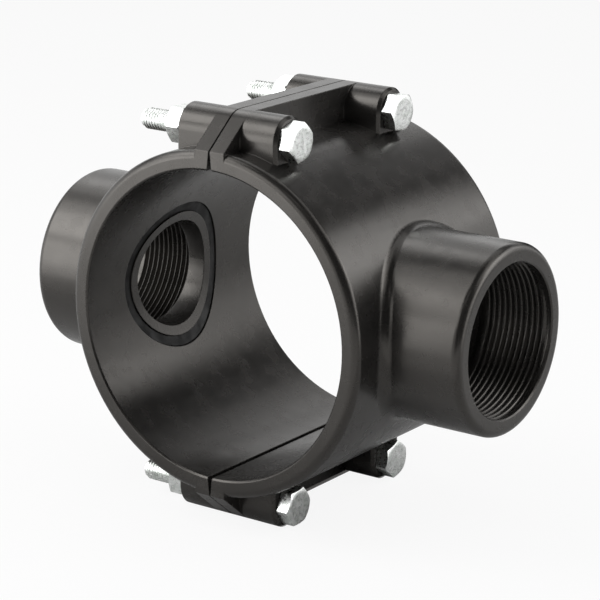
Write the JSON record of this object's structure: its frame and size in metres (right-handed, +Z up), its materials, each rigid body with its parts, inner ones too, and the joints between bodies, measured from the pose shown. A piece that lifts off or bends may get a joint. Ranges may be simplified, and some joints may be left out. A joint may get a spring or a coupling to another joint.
{
  "type": "tapping saddle",
  "caption": "Bolted clamp saddle in black plastic for a 4 inch pipe, with a two-inch threaded outlet on each side and a contoured seal behind each.",
  "frame": {"origin": "on the axis of the pipe seat, halfway along the saddle", "axes": "+Y along the pipe, +X along the outlets towards the bolt heads, +Z up through the upper flange"},
  "size_m": [0.1908, 0.1006, 0.1534],
  "materials": {
    "body_plastic": "black moulded polypropylene with a soft gloss",
    "seal_rubber": "matte black nitrile rubber",
    "zinc_steel": "bright zinc-plated steel"
  },
  "bodies": {
    "right_body": {"right_half": "body_plastic", "right_seal": "seal_rubber", "bolt_top_front": "zinc_steel", "bolt_top_rear": "zinc_steel", "bolt_bottom_front": "zinc_steel", "bolt_bottom_rear": "zinc_steel"},
    "left_body": {"left_half": "body_plastic", "left_seal": "seal_rubber"},
    "nut_top_front_body": {"nut_top_front": "zinc_steel"},
    "nut_top_rear_body": {"nut_top_rear": "zinc_steel"},
    "nut_bottom_front_body": {"nut_bottom_front": "zinc_steel"},
    "nut_bottom_rear_body": {"nut_bottom_rear": "zinc_steel"}
  },
  "joints": [
    {"name": "clamp_opening", "type": "slide", "parent": "right_body", "child": "left_body", "axis": [-1, 0, 0], "range_m": [0, 0.014]},
    {"name": "nut_top_front_turn", "type": "hinge", "parent": "left_body", "child": "nut_top_front_body", "pos_m": [-0.022, -0.0321, 0.06785], "axis": [-1, 0, 0], "range_deg": [0, 4035]},
    {"name": "nut_top_rear_turn", "type": "hinge", "parent": "left_body", "child": "nut_top_rear_body", "pos_m": [-0.022, 0.0321, 0.06785], "axis": [-1, 0, 0], "range_deg": [0, 4035]},
    {"name": "nut_bottom_front_turn", "type": "hinge", "parent": "left_body", "child": "nut_bottom_front_body", "pos_m": [-0.022, -0.0321, -0.06785], "axis": [-1, 0, 0], "range_deg": [0, 4035]},
    {"name": "nut_bottom_rear_turn", "type": "hinge", "parent": "left_body", "child": "nut_bottom_rear_body", "pos_m": [-0.022, 0.0321, -0.06785], "axis": [-1, 0, 0], "range_deg": [0, 4035]}
  ],
  "couplings": [
    {"joint": "nut_top_front_turn", "follows": "clamp_opening", "rad_per_m": 5026.5},
    {"joint": "nut_top_rear_turn", "follows": "clamp_opening", "rad_per_m": 5026.5},
    {"joint": "nut_bottom_front_turn", "follows": "clamp_opening", "rad_per_m": 5026.5},
    {"joint": "nut_bottom_rear_turn", "follows": "clamp_opening", "rad_per_m": 5026.5}
  ]
}
